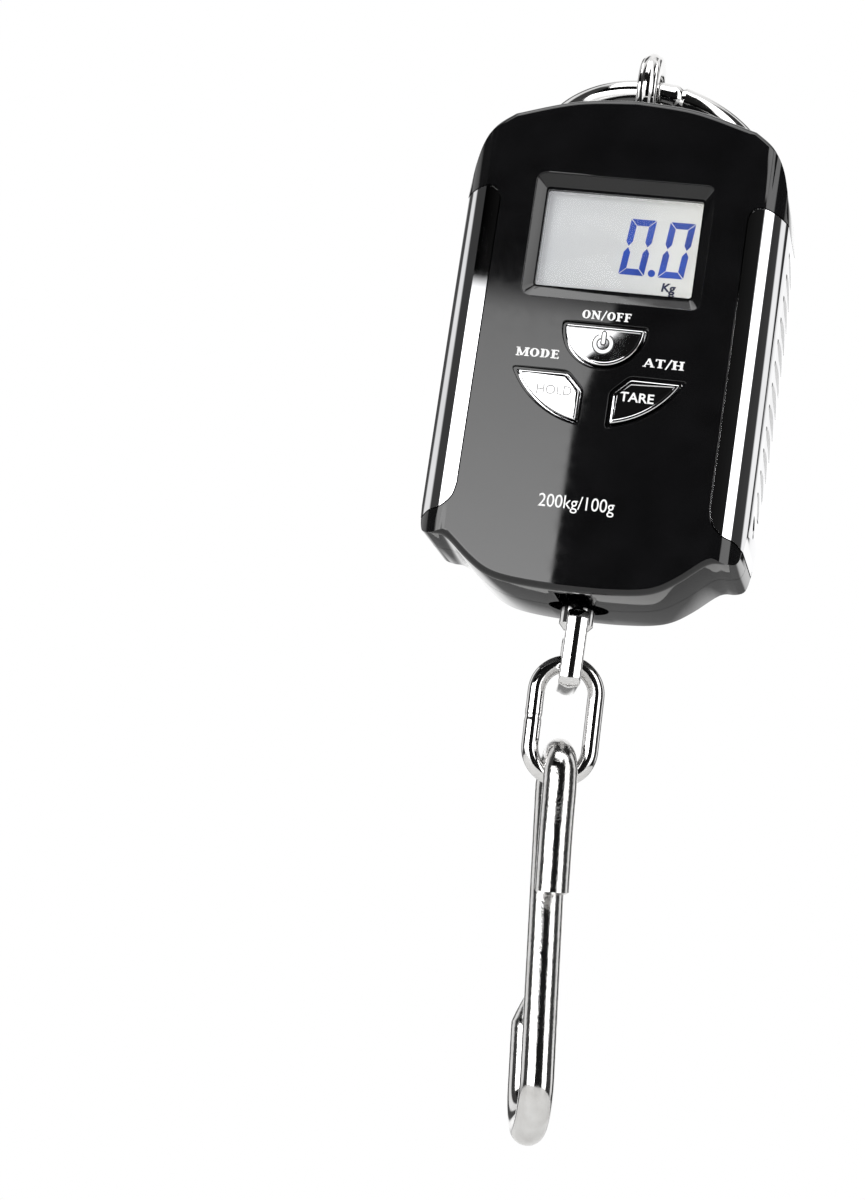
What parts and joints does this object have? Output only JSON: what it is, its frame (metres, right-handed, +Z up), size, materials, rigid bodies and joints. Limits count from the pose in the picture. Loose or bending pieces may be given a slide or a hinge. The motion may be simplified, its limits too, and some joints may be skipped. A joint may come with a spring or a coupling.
{
  "type": "digital hanging scale",
  "caption": "Hand-held digital hanging scale: glossy casing with ribbed side grips, display and keys, a load cell inside, hinged top ring, and a swivel eye, link and hook below.",
  "frame": {"origin": "centre of the hole in the upper eye, from which the scale hangs", "axes": "+Z up along the casing, -Y out of the display face, +X to the right seen from the display side"},
  "size_m": [0.078, 0.0708, 0.2576],
  "materials": {
    "gloss_black": "high-gloss black ABS",
    "plated_plastic": "bright chrome-plated ABS",
    "chrome_steel": "bright plated steel",
    "zinc_steel": "zinc plated",
    "aluminium": "milled",
    "clear_window": "clear, polished",
    "lcd_glass": "silver-grey reflective display",
    "light_plastic": "moulded, matte",
    "grey_rubber": "matte",
    "green_board": "solder mask",
    "black_chip": "moulded epoxy",
    "gauge_foil": "etched foil",
    "wire_red": "insulation",
    "wire_black": "insulation",
    "battery_sleeve": "printed sleeve"
  },
  "bodies": {
    "casing": {"front_shell": "gloss_black", "rear_shell": "gloss_black", "left_grip": "plated_plastic", "right_grip": "plated_plastic", "display_window": "clear_window", "lcd_panel": "lcd_glass", "lcd_frame": "light_plastic", "backlight_panel": "light_plastic", "zebra_strip": "grey_rubber", "main_board": "green_board", "converter_chip": "black_chip", "controller_chip": "black_chip", "power_switch": "black_chip", "hold_switch": "black_chip", "tare_switch": "black_chip", "load_cell": "aluminium", "strain_gauge_upper": "gauge_foil", "strain_gauge_lower": "gauge_foil", "gauge_cable": "light_plastic", "battery_wire_red": "wire_red", "battery_wire_black": "wire_black", "upper_eye_bolt": "chrome_steel", "upper_washer": "zinc_steel", "upper_nut": "zinc_steel", "battery_cell_1": "battery_sleeve", "battery_cell_2": "battery_sleeve", "battery_spring_1": "zinc_steel", "battery_spring_2": "zinc_steel", "battery_contact_left": "zinc_steel", "battery_contact_right": "zinc_steel", "case_screw_1": "zinc_steel", "board_screw_1": "zinc_steel", "case_screw_2": "zinc_steel", "board_screw_2": "zinc_steel", "case_screw_3": "zinc_steel", "board_screw_3": "zinc_steel", "case_screw_4": "zinc_steel", "board_screw_4": "zinc_steel", "cell_screw_1": "zinc_steel", "cell_screw_2": "zinc_steel"},
    "ring": {"suspension_ring": "chrome_steel"},
    "lower_eye": {"lower_eye_bolt": "chrome_steel", "lower_washer": "zinc_steel", "lower_nut": "zinc_steel"},
    "link": {"chain_link": "chrome_steel"},
    "hook": {"hook": "chrome_steel"},
    "power_key": {"power_button": "plated_plastic"},
    "hold_key": {"hold_button": "plated_plastic"},
    "tare_key": {"tare_button": "plated_plastic"},
    "door": {"battery_door": "gloss_black"}
  },
  "joints": [
    {"name": "ring_fold", "type": "hinge", "parent": "casing", "child": "ring", "pos_m": [0, 0, 0], "axis": [0.9986, -0.025, -0.046], "range_deg": [0, 225]},
    {"name": "eye_swivel", "type": "hinge", "parent": "casing", "child": "lower_eye", "pos_m": [0, 0, -0.1], "axis": [0, 0, 1], "continuous": true},
    {"name": "link_swing", "type": "hinge", "parent": "lower_eye", "child": "link", "pos_m": [0, 0, -0.1456], "axis": [-0.225, 0.9744, 0], "range_deg": [-50, 50]},
    {"name": "hook_swing", "type": "hinge", "parent": "link", "child": "hook", "pos_m": [0.00047, 0.00011, -0.16519], "axis": [0.9595, 0.2733, 0.068], "range_deg": [-70, 70]},
    {"name": "power_press", "type": "slide", "parent": "casing", "child": "power_key", "axis": [0, 1, 0], "range_m": [0, 0.0008], "stiffness_N_per_m": 1200},
    {"name": "hold_press", "type": "slide", "parent": "casing", "child": "hold_key", "axis": [0, 1, 0], "range_m": [0, 0.0008], "stiffness_N_per_m": 1200},
    {"name": "tare_press", "type": "slide", "parent": "casing", "child": "tare_key", "axis": [0, 1, 0], "range_m": [0, 0.0008], "stiffness_N_per_m": 1200},
    {"name": "door_open", "type": "hinge", "parent": "casing", "child": "door", "pos_m": [0, 0.0181, -0.1146], "axis": [-1, 0, 0], "range_deg": [0, 70]}
  ]
}
